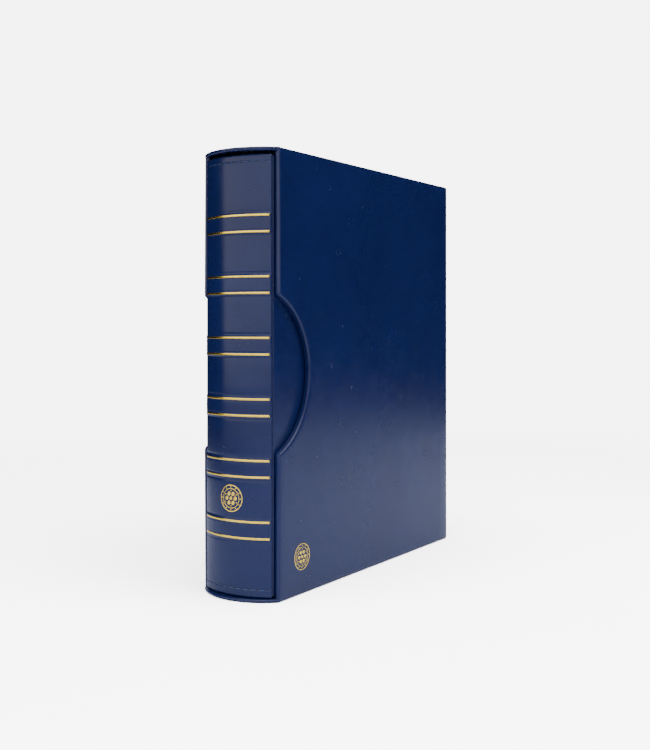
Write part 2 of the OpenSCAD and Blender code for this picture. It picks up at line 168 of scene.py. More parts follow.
def thicken(piece, thickness_mm):
    """Gives an open sheet its thickness, on the side away from its normals."""
    solid = piece.modifiers.new("thickness", "SOLIDIFY")
    solid.thickness = thickness_mm * MM
    solid.offset = -1.0
    solid.use_even_offset = False
    return piece


def lerp(a, b, t):
    return a + (b - a) * t


def smooth_step(t):
    t = min(max(t, 0.0), 1.0)
    return t * t * (3 - 2 * t)


# ---------------------------------------------------------------- slipcase
def notch_outline():
    """Front edge of a side from foot to top, as (y, z, normal y, normal z), with the thumb cut-out in it."""
    depth = SIDE_Y - NOTCH_Y
    lift = math.sqrt((NOTCH_R + NOTCH_FILLET) ** 2 - (depth + NOTCH_FILLET) ** 2)
    swing = math.atan2(lift, depth + NOTCH_FILLET)
    half = []
    for i in range(25):
        a = swing * i / 24
        half.append((NOTCH_Y + NOTCH_R * math.cos(a), NOTCH_R * math.sin(a), -math.cos(a), -math.sin(a)))
    for i in range(1, 9):
        a = lerp(math.pi + swing, math.pi, i / 8)
        half.append((SIDE_Y + NOTCH_FILLET * (1 + math.cos(a)), lift + NOTCH_FILLET * math.sin(a),
                     math.cos(a), math.sin(a)))
    top = CASE_TOP - TOP_R - MID_Z
    for i in range(1, 27):
        half.append((SIDE_Y, lerp(lift, top, i / 26), -1.0, 0.0))
    lower = [(y, -z, ny, -nz) for y, z, ny, nz in reversed(half[1:])]
    return [(y, MID_Z + z, ny, nz) for y, z, ny, nz in lower + half]


def bow(y, z):
    """How far a side swells outwards: nothing at the foot, the top and the back."""
    upright = math.sin(math.pi * min(max(z / CASE_TOP, 0.0), 1.0)) ** 0.8
    along = 1.0 - smooth_step((y - 0.35 * CASE_BACK) / (0.6 * CASE_BACK))
    return BOW * upright * along


def wall_row(front_y, front_z, ny, nz):
    """One row of the slipcase covering, from inside the right side round the back to inside the left side."""
    half = []

    def put(depth, x, nx, normal_share):
        half.append((x, front_y - ny * depth, front_z - nz * depth, nx, -normal_share))

    put(TURN_IN, INNER_X, -1.0, 0.0)
    put(TURN_IN * 0.5, INNER_X, -1.0, 0.0)
    for a in quarter_turn(4):
        put(EDGE_R * (1 - math.sin(a)), INNER_X + EDGE_R * (1 - math.cos(a)), -math.cos(a), math.sin(a))
    put(0.0, (INNER_X + CASE_X) / 2, 0.0, 1.0)
    for a in quarter_turn(5):
        put(EDGE_R * (1 - math.cos(a)), CASE_X - EDGE_R * (1 - math.sin(a)), math.sin(a), math.cos(a))
    start_y = front_y - ny * EDGE_R
    start_z = front_z - nz * EDGE_R
    end_y = CASE_BACK - BACK_CORNER_R
    for k in range(1, 25):
        t = (k / 24) ** 1.25
        half.append((CASE_X, lerp(start_y, end_y, t), lerp(start_z, front_z, smooth_step(t * 4)), 1.0, 0.0))
    for a in quarter_turn(5)[1:]:
        half.append((CASE_X - BACK_CORNER_R * (1 - math.cos(a)), end_y + BACK_CORNER_R * math.sin(a), front_z,
                     math.cos(a), math.sin(a)))
    for k in range(1, 6):
        half.append((lerp(CASE_X - BACK_CORNER_R, 0.0, k / 5), CASE_BACK, front_z, 0.0, 1.0))
    row = []
    for x, y, z, nx, n_y in half:
        across = min(max((x - INNER_X) / (CASE_X - INNER_X), 0.0), 1.0)
        swell = bow(y, z) * across if y < CASE_BACK - BACK_CORNER_R - 0.01 else 0.0
        row.append((x + swell, y, z, nx, n_y))
    other = [(-x, y, z, -nx, n_y) for x, y, z, nx, n_y in reversed(row[:-1])]
    return row + other


def turned_row(row, lift, draw_in):
    """The last row of the walls, rolled over an edge: moved up or down and drawn in on the outer faces."""
    out = []
    for x, y, z, nx, n_y in row:
        outer = abs(x) > (INNER_X + CASE_X) / 2 or y > CASE_BACK - BACK_CORNER_R
        share = draw_in if outer else 0.0
        out.append((x - nx * share, y - n_y * share, z + lift, nx, n_y))
    return out


def case_wrap_sheet():
    rows = [wall_row(*sample) for sample in notch_outline()]
    roll = quarter_turn(5)[1:]
    top = [turned_row(rows[-1], TOP_R * math.sin(a), TOP_R * (1 - math.cos(a))) for a in roll]
    top.append(turned_row(rows[-1], TOP_R - TUCK_HIDE, TUCK_DEPTH))
    foot = [turned_row(rows[0], -TOP_R * math.sin(a), TOP_R * (1 - math.cos(a))) for a in roll]
    foot.append(turned_row(rows[0], TUCK_HIDE - TOP_R, TUCK_DEPTH))
    rows = foot[::-1] + rows + top
    points = [p[:3] for row in rows for p in row]
    faces = grid_faces(len(rows), len(rows[0]))
    piece = new_object("case_wrap_sheet", points, faces, "slipcase")
    thicken(piece, WRAP_T)
    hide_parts("case_wrap")
    return piece


def cap_outline(inset):
    """Plan of the slipcase's top: the arched front, then down both sides and across the back."""
    centre_y = APEX_Y + ARCH_R
    x_line = CASE_X - CAP_CORNER_R
    reach = math.sqrt((ARCH_R - CAP_CORNER_R) ** 2 - x_line ** 2)
    corner_y = centre_y - reach
    swing = math.atan2(x_line, reach)
    half = []
    for k in range(29):
        a = swing * k / 28
        half.append((ARCH_R * math.sin(a), centre_y - ARCH_R * math.cos(a), math.sin(a), -math.cos(a)))
    for k in range(1, 6):
        a = lerp(swing, math.pi / 2, k / 5)
        half.append((x_line + CAP_CORNER_R * math.sin(a), corner_y - CAP_CORNER_R * math.cos(a),
                     math.sin(a), -math.cos(a)))
    for k in range(1, 5):
        t = k / 4
        half.append((CASE_X - CAP_SIDE_INSET * smooth_step(t), corner_y + 1.0 + 5.0 * t, 1.0, 0.0))
    back_y = CASE_BACK - CAP_SIDE_INSET
    back_r = BACK_CORNER_R - CAP_SIDE_INSET
    for k in range(1, 9):
        half.append((CASE_X - CAP_SIDE_INSET, lerp(corner_y + 6.0, back_y - back_r, k / 8), 1.0, 0.0))
    for a in quarter_turn(4)[1:]:
        half.append((CASE_X - CAP_SIDE_INSET - back_r * (1 - math.cos(a)),
                     back_y - back_r * (1 - math.sin(a)),
                     math.cos(a), math.sin(a)))
    half.append((0.0, back_y, 0.0, 1.0))
    right = [(x - nx * inset, y - ny * inset) for x, y, nx, ny in half]
    left = [(-x, y) for x, y in reversed(right[1:-1])]
    return right + left


def case_cap(name, node, z_outer, z_inner):
    """Top or bottom of the slipcase in its covering, with both edges of the arched front rounded."""
    sign = 1 if z_outer > z_inner else -1
    roll = CAP_EDGE_R
    loops = [(CAP_FACE_INSET, z_inner)]
    for a in quarter_turn(4):
        loops.append((roll * (1 - math.sin(a)), z_inner + sign * roll * (1 - math.cos(a))))
    for a in quarter_turn(4):
        loops.append((roll * (1 - math.cos(a)), z_outer - sign * roll * (1 - math.sin(a))))
    loops.append((CAP_FACE_INSET, z_outer))
    count = len(cap_outline(0.0))
    points = [(x, y, z) for inset, z in loops for x, y in cap_outline(inset)]
    faces = ring_faces(len(loops), count, flip=sign < 0)
    near = list(range(count))
    far = [(len(loops) - 1) * count + j for j in range(count)]
    faces.append(tuple(reversed(near)) if sign > 0 else tuple(near))
    faces.append(tuple(far) if sign > 0 else tuple(reversed(far)))
    piece = new_object(name, points, faces, "slipcase")
    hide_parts(node)
    return piece


# ---------------------------------------------------------------- album covers and spine
def relief(z):
    """How far the spine's surface stands out at a height: raised bands, a valley beside each, two seams."""
    out = 0.0
    edge = LINE_W / 2 + 0.2
    for i in range(BANDS):
        low = LINE_BASE + i * BAND_PITCH
        high = low + LINE_GAP
        out += (BAND_RISE * smooth_step((z - low + edge + BAND_SLOPE) / BAND_SLOPE)
                * smooth_step((high + edge + BAND_SLOPE - z) / BAND_SLOPE))
        for line, side in ((low, -1), (high, 1)):
            out -= 0.16 * (1 - smooth_step(abs(z - (line + side * (edge + 1.7))) / 1.5))
            out -= 0.10 * (1 - smooth_step(abs(z - (line - side * (edge + 0.5))) / 0.8))
    for seam in (SEAM_TOP, SEAM_FOOT):
        out -= 0.22 * (1 - smooth_step(abs(z - seam) / 0.7))
    for hem in (HEM_TOP, HEM_FOOT):
        out -= 0.08 * (1 - smooth_step(abs(z - hem) / 0.5))
    return out


def spine_point(x, z, lift=0.0):
    """A point of the spine's face at a width and a height, lifted along the face's normal."""
    radius = SPINE_R + relief(z) + lift
    a = math.asin(max(min(x / SPINE_R, 1.0), -1.0))
    return (radius * math.sin(a), SPINE_CY - radius * math.cos(a), z)


def outer_path():
    """Half of the outer sheet's plan, from the spine's middle to the cover's far edge.

    Each sample is x, y, its normal, how far it draws in at the rolled ends and its share of the
    spine's relief.
    """
    half = []
    swing = math.asin((SPINE_HALF + 0.5) / SPINE_R)
    for k in range(33):
        a = swing * (1 - (1 - k / 32) ** 1.1)
        half.append((SPINE_R * math.sin(a), SPINE_CY - SPINE_R * math.cos(a),
                     math.sin(a), -math.cos(a), 1.0, 1.0))
    edge_x, edge_y = half[-1][:2]
    # the welded rim of the spine panel, rolled back into the hinge groove
    rim = ((0.28, 0.22, 0.85, -0.5, 0.7), (0.36, 0.6, 1.0, 0.1, 0.5), (0.2, 1.0, 0.8, 0.6, 0.35),
           (-0.3, 1.3, 0.3, 0.95, 0.25), (-1.0, 1.45, 0.1, 1.0, 0.2), (-1.5, 1.65, 0.5, 0.8, 0.2),
           (-1.75, 1.95, 1.0, 0.0, 0.2), (-1.55, 2.25, 0.5, -0.8, 0.25))
    for dx, dy, nx, ny, give in rim:
        half.append((edge_x + dx, edge_y + dy, nx, ny, give, 0.0))
    cx = ALBUM_X - COVER_R
    cy = COVER_Y0 + COVER_R
    for k in range(7):
        a = lerp(math.radians(115), 0.0, k / 6)
        half.append((cx + COVER_R * math.cos(a), cy - COVER_R * math.sin(a),
                     math.cos(a), -math.sin(a), 1.0, 0.0))
    for k in range(1, 17):
        half.append((ALBUM_X, lerp(cy, COVER_Y1 - COVER_R, k / 16), 1.0, 0.0, 1.0, 0.0))
    for a in quarter_turn(5)[1:]:
        half.append((cx + COVER_R * math.cos(a), COVER_Y1 - COVER_R + COVER_R * math.sin(a),
                     math.cos(a), math.sin(a), 1.0, 0.0))
    return half


def inner_path():
    """Half of the inner sheet's plan, from the middle of the spine's inside to the cover's far edge."""
    half = []
    radius = SPINE_R - SPINE_T
    inside = ALBUM_X - COVER_T
    swing = math.asin((inside - 0.5) / radius)
    for k in range(17):
        a = swing * k / 16
        half.append((radius * math.sin(a), SPINE_CY - radius * math.cos(a),
                     -math.sin(a), math.cos(a), 1.0, 0.0))
    end_x, end_y = half[-1][:2]
    start_y = COVER_Y0 + COVER_R
    for k in range(1, 5):
        t = k / 5
        half.append((lerp(end_x, inside, t), lerp(end_y, start_y, t), -0.9, 0.4, 0.5, 0.0))
    for k in range(13):
        half.append((inside, lerp(start_y, COVER_Y1 - COVER_R, k / 12), -1.0, 0.0, 1.0, 0.0))
    for a in quarter_turn(5)[1:]:
        half.append((inside + COVER_R * (1 - math.cos(a)), COVER_Y1 - COVER_R + COVER_R * math.sin(a),
                     -math.cos(a), math.sin(a), 1.0, 0.0))
    return half


def spine_heights():
    """Heights of the sheet's rows: even steps, closer together at every line, seam and hem."""
    low = ALBUM_Z0 + COVER_R
    high = ALBUM_Z1 - COVER_R
    heights = {round(lerp(low, high, k / 48), 3) for k in range(49)}
    for mark in [LINE_BASE + i * BAND_PITCH + e * LINE_GAP for i in range(BANDS) for e in (0, 1)]:
        heights |= {round(mark + 0.35 * k, 3) for k in range(-12, 13)}
    for mark in (SEAM_TOP, SEAM_FOOT, HEM_TOP, HEM_FOOT):
        heights |= {round(mark + 0.2 * k, 3) for k in range(-4, 5)}
    heights = sorted(h for h in heights if low <= h <= high)
    return [h for i, h in enumerate(heights) if i == 0 or h - heights[i - 1] > 0.05 or h == heights[-1]]


def lofted_sheet(name, half, heights, node, flip):
    """A sheet with the plan of half a path and its mirror image, rolled in at its foot and its head."""
    full = [(-x, y, -nx, ny, give, share) for x, y, nx, ny, give, share in reversed(half[1:])] + half
    roll = quarter_turn(5)[1:]
    rows = [(ALBUM_Z0 + COVER_R * (1 - math.sin(a)), COVER_R * (1 - math.cos(a))) for a in reversed(roll)]
    rows += [(z, 0.0) for z in heights]
    rows += [(ALBUM_Z1 - COVER_R * (1 - math.sin(a)), COVER_R * (1 - math.cos(a))) for a in roll]
    points = []
    for z, inset in rows:
        for x, y, nx, ny, give, share in full:
            out = relief(z) * share - inset * give * 0.98
            points.append((x + nx * out, y + ny * out, z))
    piece = new_object(name, points, grid_faces(len(rows), len(full), flip=flip), "album")
    thicken(piece, COVER_SHEET_T)
    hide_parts(node)
    return piece


def spine_gold_foil():
    """Stamped lines that lie on the bands' edges."""
    points, faces = [], []
    columns = 61
    half = SPINE_HALF - 0.3
    edge = LINE_W / 2
    section = ((-edge, 0.0), (0.12 - edge, 0.05), (0.0, 0.06), (edge - 0.12, 0.05), (edge, 0.0))
    for i in range(BANDS):
        for e in (0, 1):
            z = LINE_BASE + i * BAND_PITCH + e * LINE_GAP
            start = len(points)
            for dz, lift in section:
                for k in range(columns):
                    points.append(spine_point(lerp(-half, half, k / (columns - 1)), z + dz, lift + 0.015))
            faces += grid_faces(len(section), columns, start)
    piece = new_object("spine_gold_foil", points, faces, "album")
    thicken(piece, FOIL_T)
    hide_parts("spine_gold_lines")
    return piece


# ---------------------------------------------------------------- medallions
def medallion_shapes(radius):
    """The medallion's flat shapes as (inner radius, outer radius, u, v): rings, beads and a rosette."""
    shapes = [(0.93, 1.0, 0.0, 0.0), (0.69, 0.74, 0.0, 0.0), (0.0, 0.13, 0.0, 0.0)]
    for k in range(12):
        a = math.pi * k / 6
        shapes.append((0.0, 0.045, 0.835 * math.cos(a), 0.835 * math.sin(a)))
    for k in range(6):
        a = math.pi * k / 3
        shapes.append((0.0, 0.15, 0.38 * math.cos(a), 0.38 * math.sin(a)))
        a += math.pi / 6
        shapes.append((0.0, 0.05, 0.56 * math.cos(a), 0.56 * math.sin(a)))
    return [tuple(value * radius for value in shape) for shape in shapes]


def medallion(name, node, body, place):
    """Stamped foil rings, beads and a rosette, laid on a surface by place(u, v, lift)."""
    low, high = box(node)
    points, faces = [], []
    for inner, outer, u0, v0 in medallion_shapes((high.z - low.z) / 2):
        segments = 96 if outer > 5 else 24
        start = len(points)
        edge = min(0.07, (outer - inner) * 0.3)
        loops = [(inner, 0.0), (inner + edge, 0.06), (outer - edge, 0.06), (outer, 0.0)]
        if inner == 0.0:
            loops = [(outer * 0.45, 0.07), (outer - edge, 0.06), (outer, 0.0)]
        for r, lift in loops:
            for k in range(segments):
                a = 2 * math.pi * k / segments
                points.append(place(u0 + r * math.cos(a), v0 + r * math.sin(a), lift + 0.02))
        faces += ring_faces(len(loops), segments, start, True)
        if inner == 0.0:
            faces.append(tuple(start + k for k in range(segments)))
    piece = new_object(name, points, faces, body)
    thicken(piece, FOIL_T)
    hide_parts(node)
    return piece


# ---------------------------------------------------------------- stitching and coins
def tube_faces(rings, sides, start):
    """Closed rings of points joined into a solid with both its ends shut."""
    faces = ring_faces(rings, sides, start)
    faces.append(tuple(start + k for k in reversed(range(sides))))
    faces.append(tuple(start + (rings - 1) * sides + k for k in range(sides)))
    return faces


def stitch_places():
    count = int(2 * STITCH_REACH / STITCH_PITCH)
    return [(k - (count - 1) / 2) * STITCH_PITCH for k in range(count)]


def spine_stitches():
    """Running stitches at the spine's head and foot, each arched out of one hole into the next."""
    points, faces = [], []
    rings, sides = 9, 8
    for seam in (SEAM_TOP, SEAM_FOOT):
        for middle in stitch_places():
            start = len(points)
            for i in range(rings):
                t = i / (rings - 1)
                x = middle + (t - 0.5) * STITCH_LENGTH
                arch = math.sin(math.pi * t)
                radius = THREAD_R * (0.35 + 0.65 * arch ** 0.4) if 0 < i < rings - 1 else THREAD_R * 0.3
                for k in range(sides):
                    a = 2 * math.pi * k / sides
                    lift = THREAD_R * (1.5 * arch - 0.7) + radius * math.cos(a)
                    points.append(spine_point(x, seam + radius * math.sin(a), lift))
            faces += tube_faces(rings, sides, start)
    return new_object("spine_stitches", points, faces, "album")


def stitch_holes():
    """The needle holes that the thread goes into, as shallow dimples; their near-black colour is painted
    shade inside the holes.
    """
    points, faces = [], []
    sides = 12
    for seam in (SEAM_TOP, SEAM_FOOT):
        for middle in stitch_places():
            for end in (-1, 1):
                x0 = middle + end * STITCH_LENGTH / 2
                start = len(points)
                for radius, lift in ((0.62, -0.02), (0.5, 0.05), (0.34, 0.02), (0.3, -0.25)):
                    for k in range(sides):
                        a = 2 * math.pi * k / sides
                        x = x0 + radius * math.cos(a)
                        z = seam + 0.8 * radius * math.sin(a)
                        points.append(spine_point(x, z, lift))
                faces += ring_faces(4, sides, start, True)
                faces.append(tuple(start + 3 * sides + k for k in range(sides)))
                faces.append(tuple(start + k for k in reversed(range(sides))))
    return new_object("spine_stitch_holes", points, faces, "album")


def coin_section(radius, thickness):
    """Half section of a coin as (radius, height): a raised rim and a stepped field on both faces."""
    rim = 0.09 * radius
    drop = 0.14 * thickness
    face = [(radius, 0.12 * thickness), (radius - 0.12, 0.02 * thickness), (radius - 0.3, 0.0),
            (radius - rim, 0.0), (radius - rim - 0.25, drop), (0.72 * radius, drop),
            (0.69 * radius, 0.6 * drop), (0.66 * radius, drop), (0.3 * radius, drop),
            (0.26 * radius, 0.35 * drop), (0.08 * radius, 0.3 * drop)]
    return [(r, h) for r, h in reversed(face)] + [(r, thickness - h) for r, h in face]


def struck_coins(index):
    """The coins of one sheet, on the grid that the CAD coins and their sheet give."""
    low, high = box(f"coins_{index}")
    sheet_low, sheet_high = box(f"coin_sheet_{index}")
    columns, rows = SHEET_COLUMNS[index - 1], SHEET_ROWS[index - 1]
    step_z = (sheet_high.z - sheet_low.z - 2 * SHEET_EDGE) / rows
    diameter = (high.z - low.z) - (rows - 1) * step_z
    step_y = ((high.y - low.y) - diameter) / (columns - 1)
    section = coin_section(diameter / 2, high.x - low.x)
    sides = 40
    points, faces = [], []
    for row in range(rows):
        for column in range(columns):
            y0 = low.y + diameter / 2 + column * step_y
            z0 = low.z + diameter / 2 + row * step_z
            start = len(points)
            for r, h in section:
                for k in range(sides):
                    a = 2 * math.pi * k / sides
                    points.append((low.x + h, y0 + r * math.cos(a), z0 + r * math.sin(a)))
            faces += tube_faces(len(section), sides, start)
    piece = new_object(f"struck_coins_{index}", points, faces, "album")
    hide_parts(f"coins_{index}")
    return piece


# ---------------------------------------------------------------- materials
class Finish:
    """A material with the Principled shader, and short ways to drive it with procedural textures."""

    def __init__(self, name, color, roughness, metallic=0.0):
        self.material = bpy.data.materials.new(name)
        self.material.use_nodes = True
        self.tree = self.material.node_tree
        self.shader = self.tree.nodes["Principled BSDF"]
        self.shader.inputs["Base Color"].default_value = (*color, 1.0)
        self.shader.inputs["Roughness"].default_value = roughness
        self.shader.inputs["Metallic"].default_value = metallic
        self.place = self.tree.nodes.new("ShaderNodeTexCoord")
        self.heights = []

    def link(self, output, socket):
        self.tree.links.new(output, socket)

    def stretched(self, scale):
        """The object's own coordinates in metres, stretched along the axes."""
        node = self.tree.nodes.new("ShaderNodeMapping")
        node.inputs["Scale"].default_value = scale
        self.link(self.place.outputs["Object"], node.inputs["Vector"])
        return node.outputs["Vector"]

    def noise(self, size_mm, detail=3.0, rough=0.5, stretch=(1.0, 1.0, 1.0)):
        node = self.tree.nodes.new("ShaderNodeTexNoise")
        node.inputs["Scale"].default_value = 1.0 / (size_mm * MM)
        node.inputs["Detail"].default_value = detail
        node.inputs["Roughness"].default_value = rough
        self.link(self.stretched(stretch), node.inputs["Vector"])
        return node.outputs["Fac"]

    def cells(self, size_mm, feature="F1"):
        node = self.tree.nodes.new("ShaderNodeTexVoronoi")
        node.feature = feature
        node.inputs["Scale"].default_value = 1.0 / (size_mm * MM)
        self.link(self.stretched((1.0, 1.0, 1.0)), node.inputs["Vector"])
        return node.outputs["Distance"]

    def ramp(self, value, low, high, start=0.3, end=0.7):
        node = self.tree.nodes.new("ShaderNodeValToRGB")
        node.color_ramp.elements[0].position = start
        node.color_ramp.elements[0].color = (*low, 1.0)
        node.color_ramp.elements[1].position = end
        node.color_ramp.elements[1].color = (*high, 1.0)
        self.link(value, node.inputs["Fac"])
        return node.outputs["Color"]

    def paint(self, value, low, high, start=0.3, end=0.7):
        self.link(self.ramp(value, low, high, start, end), self.shader.inputs["Base Color"])

    def shine(self, value, low, high):
        """Varies the roughness between two values."""
        node = self.tree.nodes.new("ShaderNodeMapRange")
        node.inputs["From Min"].default_value = 0.3
        node.inputs["From Max"].default_value = 0.7
        node.inputs["To Min"].default_value = low
        node.inputs["To Max"].default_value = high
        self.link(value, node.inputs["Value"])
        self.link(node.outputs["Result"], self.shader.inputs["Roughness"])

    def bump(self, value, depth_mm, strength=1.0):
        """Adds a relief of that depth on top of the reliefs that were added before."""
        node = self.tree.nodes.new("ShaderNodeBump")
        node.inputs["Strength"].default_value = strength
        node.inputs["Distance"].default_value = depth_mm * MM
        self.link(value, node.inputs["Height"])
        if self.heights:
            self.link(self.heights[-1], node.inputs["Normal"])
        self.heights.append(node.outputs["Normal"])
        self.link(node.outputs["Normal"], self.shader.inputs["Normal"])


def leatherette():
    finish = Finish("navy_leatherette", NAVY, 0.24)
    finish.shader.inputs["Specular IOR Level"].default_value = 0.31
    finish.paint(finish.noise(55.0, 4.0, 0.6), (0.0044, 0.0088, 0.049), (0.0056, 0.0112, 0.061))
    finish.shine(finish.noise(18.0, 5.0, 0.65), 0.2, 0.28)
    finish.bump(finish.noise(14.0, 2.0, 0.4), 0.05, 0.5)
    finish.bump(finish.cells(0.55), 0.008, 0.25)
    finish.bump(finish.noise(0.3, 3.0, 0.6), 0.006, 0.2)
    return finish.material


def inner_leatherette():
    finish = Finish("navy_lining_sheet", NAVY, 0.5)
    finish.paint(finish.noise(40.0, 4.0, 0.6), (0.006, 0.018, 0.075), (0.009, 0.026, 0.1))
    finish.shine(finish.noise(12.0, 4.0, 0.6), 0.46, 0.58)
    finish.bump(finish.cells(0.8), 0.03, 0.6)
    finish.bump(finish.noise(0.3, 3.0, 0.6), 0.015, 0.5)
    return finish.material


def case_lining():
    finish = Finish("black_lining_sheet", (0.006, 0.006, 0.008), 0.7)
    finish.paint(finish.noise(30.0, 5.0, 0.6), (0.005, 0.005, 0.007), (0.011, 0.011, 0.014))
    finish.shine(finish.noise(6.0, 4.0, 0.6), 0.62, 0.8)
    finish.bump(finish.noise(0.4, 4.0, 0.7), 0.03, 0.6)
    return finish.material


def greyboard():
    finish = Finish("greyboard", (0.3, 0.27, 0.22), 0.9)
    finish.paint(finish.noise(2.2, 6.0, 0.75), (0.2, 0.18, 0.15), (0.38, 0.35, 0.29))
    finish.bump(finish.noise(0.5, 5.0, 0.7, (1.0, 1.0, 0.3)), 0.06, 0.8)
    return finish.material


def gold_foil():
    finish = Finish("gold_foil", (0.95, 0.66, 0.22), 0.24, 1.0)
    finish.paint(finish.noise(9.0, 5.0, 0.7), (0.98, 0.62, 0.05), (1.0, 0.73, 0.1))
    finish.shine(finish.noise(1.8, 4.0, 0.65), 0.17, 0.27)
    finish.bump(finish.noise(0.7, 3.0, 0.6), 0.012, 0.5)
    return finish.material


def plated_steel():
    finish = Finish("plated_steel", (0.66, 0.67, 0.69), 0.16, 1.0)
    finish.paint(finish.noise(22.0, 4.0, 0.6), (0.56, 0.57, 0.59), (0.72, 0.73, 0.75))
    finish.shine(finish.noise(1.2, 5.0, 0.7, (1.0, 1.0, 0.15)), 0.11, 0.26)
    finish.bump(finish.noise(0.35, 3.0, 0.6, (1.0, 1.0, 0.1)), 0.004, 0.4)
    return finish.material


def clear_film(name, alpha):
    finish = Finish(name, (0.78, 0.82, 0.86), 0.14)
    finish.paint(finish.noise(35.0, 3.0, 0.5), (0.74, 0.79, 0.84), (0.84, 0.87, 0.9))
    finish.shine(finish.noise(15.0, 4.0, 0.6), 0.1, 0.22)
    finish.bump(finish.noise(22.0, 2.0, 0.5), 0.25, 0.5)
    finish.shader.inputs["Alpha"].default_value = alpha
    return finish.material


def struck_metal(name, low, high):
    finish = Finish(name, high, 0.32, 1.0)
    finish.paint(finish.noise(7.0, 5.0, 0.7), low, high)
    finish.shine(finish.noise(2.5, 4.0, 0.65), 0.24, 0.42)
    finish.bump(finish.cells(2.1, "SMOOTH_F1"), 0.1, 0.6)
    return finish.material


def divider_card():
    finish = Finish("cream_card", (0.75, 0.71, 0.61), 0.88)
    finish.paint(finish.noise(5.0, 6.0, 0.75), (0.7, 0.66, 0.56), (0.8, 0.76, 0.66))
    finish.bump(finish.noise(0.35, 5.0, 0.7, (1.0, 0.3, 1.0)), 0.03, 0.6)
    return finish.material


def thread():
    finish = Finish("navy_thread", (0.02, 0.045, 0.14), 0.5)
    finish.paint(finish.noise(0.25, 3.0, 0.6, (1.0, 1.0, 3.0)), (0.012, 0.03, 0.1), (0.04, 0.075, 0.2))
    finish.bump(finish.noise(0.18, 2.0, 0.5, (1.0, 1.0, 4.0)), 0.05, 0.8)
    return finish.material


def painted_hole_shade():
    # near-black tone: painted shade inside the needle holes, not a colour of the leatherette
    finish = Finish("painted_hole_shade", (0.002, 0.004, 0.012), 0.6)
    finish.paint(finish.noise(0.3, 2.0, 0.5), (0.0015, 0.003, 0.008), (0.004, 0.008, 0.02))
    finish.bump(finish.noise(0.2, 2.0, 0.5), 0.02, 0.5)
    return finish.material


def dress(piece, material):
    piece.data.materials.clear()
    piece.data.materials.append(material)


# ---------------------------------------------------------------- stage
def studio_floor():
    """A pale floor: a lit round near the object that gives way to the backdrop's white.

    What the lens sees of it is lifted towards white; reflections and bounced light see a painted blue tint in
    a painted pool of light, which fades to near black away from the object.
    """
    mesh = bpy.data.meshes.new("studio_floor")
    sides = 96
    rim = [(FLOOR_R * math.cos(2 * math.pi * k / sides), FLOOR_R * math.sin(2 * math.pi * k / sides), 0.0)
           for k in range(sides)]
    mesh.from_pydata(rim, [], [tuple(range(sides))])
    floor = bpy.data.objects.new("studio_floor", mesh)
    bpy.context.scene.collection.objects.link(floor)
    finish = Finish("studio_floor", FLOOR_PAINTED_TINT, 0.9)
    finish.shader.inputs["Specular IOR Level"].default_value = 0.0
    nodes = finish.tree.nodes

    def far_share(centre, near, far):
        moved = nodes.new("ShaderNodeVectorMath")
        moved.operation = "DISTANCE"
        moved.inputs[1].default_value = centre
        finish.link(finish.place.outputs["Object"], moved.inputs[0])
        share = nodes.new("ShaderNodeMapRange")
        share.interpolation_type = "SMOOTHSTEP"
        share.inputs["From Min"].default_value = near
        share.inputs["From Max"].default_value = far
        finish.link(moved.outputs["Value"], share.inputs["Value"])
        return share.outputs["Result"]

    def blend_of(share, first, second):
        node = nodes.new("ShaderNodeMixShader")
        finish.link(share, node.inputs["Fac"])
        finish.link(first, node.inputs[1])
        finish.link(second, node.inputs[2])
        return node.outputs["Shader"]

    # painted pool of light: the blue tint that reflections and bounced light see fades to near black away
    # from the object
    finish.link(finish.ramp(far_share(*FLOOR_PAINTED_LIGHT_POOL), FLOOR_PAINTED_TINT, (0.03, 0.03, 0.03), 0.0, 1.0),
                finish.shader.inputs["Base Color"])
    lifted = nodes.new("ShaderNodeBsdfDiffuse")
    lifted.inputs["Color"].default_value = (*FLOOR_SEEN, 1.0)
    white = nodes.new("ShaderNodeEmission")
    white.inputs["Color"].default_value = (*BACKDROP, 1.0)
    seen = blend_of(far_share((0.0, 0.0, 0.0), 0.45, 1.3), lifted.outputs["BSDF"], white.outputs["Emission"])
    path = nodes.new("ShaderNodeLightPath")
    result = blend_of(path.outputs["Is Camera Ray"], finish.shader.outputs["BSDF"], seen)
    finish.link(result, nodes["Material Output"].inputs["Surface"])
    dress(floor, finish.material)


def softbox(name, azimuth, elevation, distance, width, height, radiance, aim):
    """A rectangular light round the object: azimuth 0 faces the spine, 90 the case's right side."""
    a, e = math.radians(azimuth), math.radians(elevation)
    away = Vector((math.sin(a) * math.cos(e), -math.cos(a) * math.cos(e), math.sin(e)))
    data = bpy.data.lights.new(name, "AREA")
    data.shape = "RECTANGLE"
    data.size = width
    data.size_y = height
    data.energy = radiance * math.pi * width * height
    lamp = bpy.data.objects.new(name, data)
    lamp.location = aim + away * distance
    lamp.rotation_mode = "QUATERNION"
    lamp.rotation_quaternion = away.to_track_quat("Z", "Y")
    lamp.visible_camera = False
    bpy.context.scene.collection.objects.link(lamp)


def surroundings(lighting, seen):
    """An even dim light from all round, behind which the lens sees a pale backdrop."""
    world = bpy.data.worlds.new("studio")
    bpy.context.scene.world = world
    world.use_nodes = True
    tree = world.node_tree
    ambient = tree.nodes["Background"]
    ambient.inputs["Color"].default_value = (*lighting, 1.0)
    backdrop = tree.nodes.new("ShaderNodeBackground")
    backdrop.inputs["Color"].default_value = (*seen, 1.0)
    path = tree.nodes.new("ShaderNodeLightPath")
    mix = tree.nodes.new("ShaderNodeMixShader")
    tree.links.new(path.outputs["Is Camera Ray"], mix.inputs["Fac"])
    tree.links.new(ambient.outputs["Background"], mix.inputs[1])
    tree.links.new(backdrop.outputs["Background"], mix.inputs[2])
    tree.links.new(mix.outputs["Shader"], tree.nodes["World Output"].inputs["Surface"])


